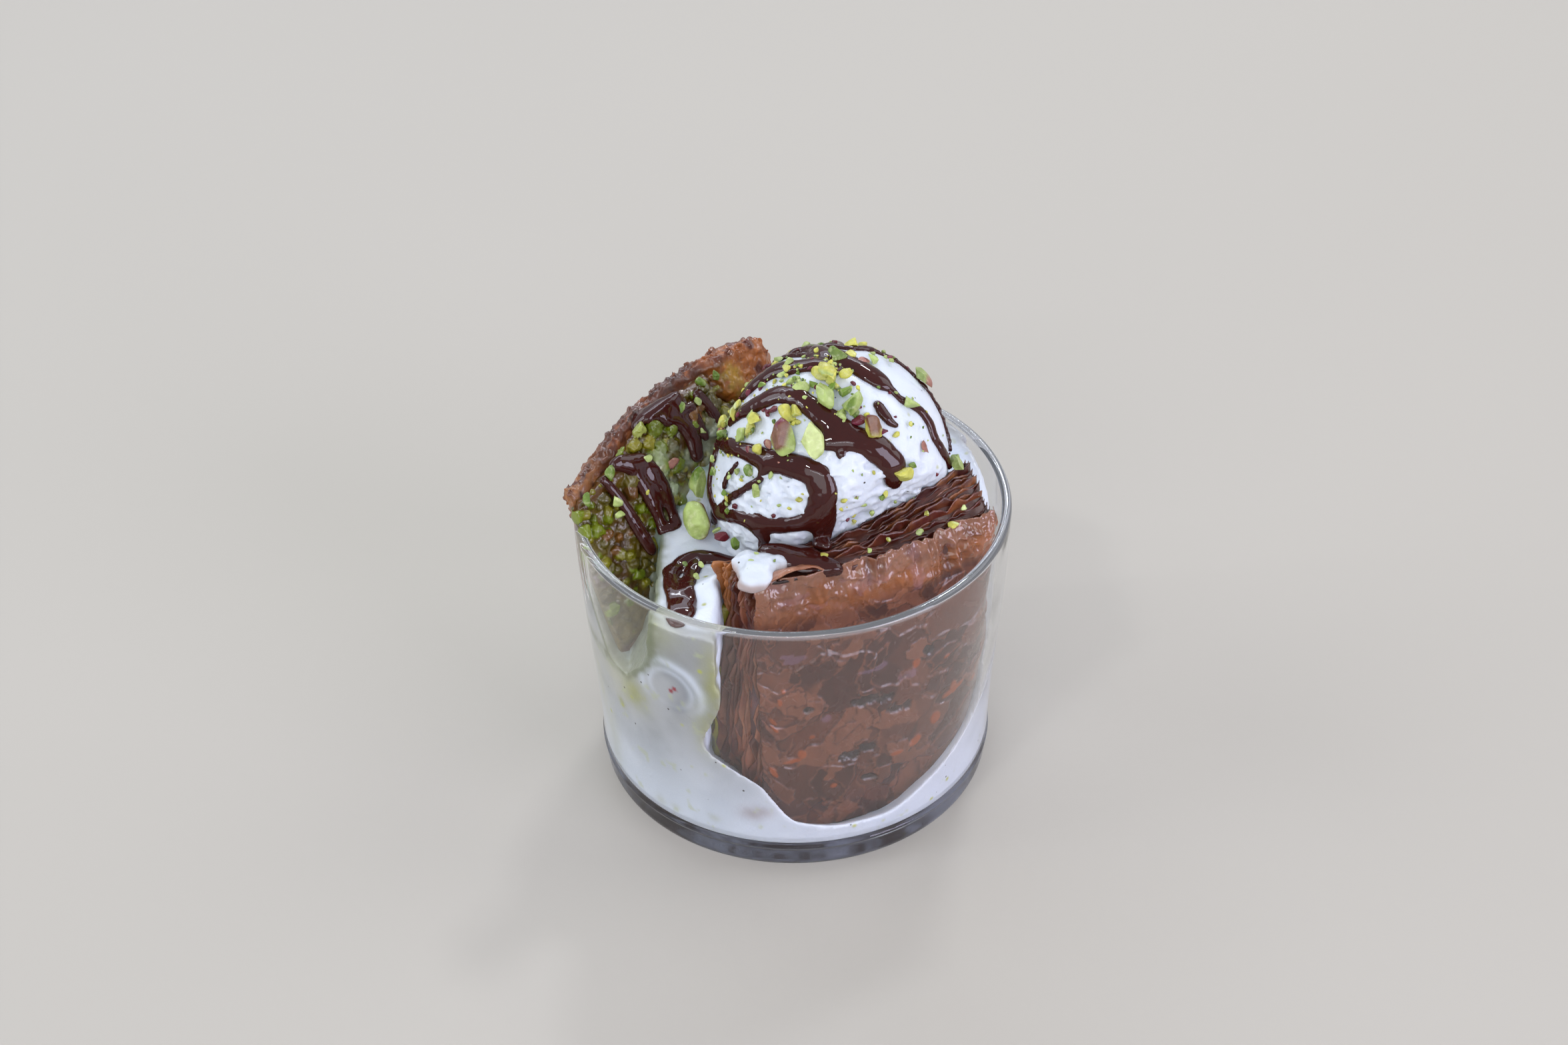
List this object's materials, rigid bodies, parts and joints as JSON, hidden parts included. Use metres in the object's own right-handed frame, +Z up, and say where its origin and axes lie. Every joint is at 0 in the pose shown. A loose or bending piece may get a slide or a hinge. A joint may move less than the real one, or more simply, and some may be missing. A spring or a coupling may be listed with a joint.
{
  "type": "baklava and gelato dessert in a glass",
  "caption": "Low clear glass tumbler filled with melting gelato, slices of baklava, a gelato scoop, chocolate sauce and chopped pistachios.",
  "frame": {"origin": "centre of the glass's flat underside", "axes": "+Z up; the dessert is seen from the front along +Y, with +X to the viewer's right"},
  "size_m": [0.0909, 0.09, 0.0969],
  "materials": {
    "glass": "clear",
    "gelato": "soft, slightly wet",
    "pastry": "syrup glazed flakes",
    "filling": "syrupy ground pistachio",
    "nut": "matt",
    "chocolate": "glossy"
  },
  "bodies": {
    "root": {"glass": "glass", "gelato_pool": "gelato", "gelato_scoop": "gelato", "gelato_dab": "gelato", "front_pastry": "pastry", "front_filling": "filling", "left_pastry": "pastry", "left_filling": "filling", "pistachio_01": "nut", "pistachio_02": "nut", "pistachio_03": "nut", "pistachio_04": "nut", "pistachio_05": "nut", "pistachio_06": "nut", "pistachio_07": "nut", "pistachio_08": "nut", "pistachio_09": "nut", "pistachio_10": "nut"}
  },
  "joints": []
}
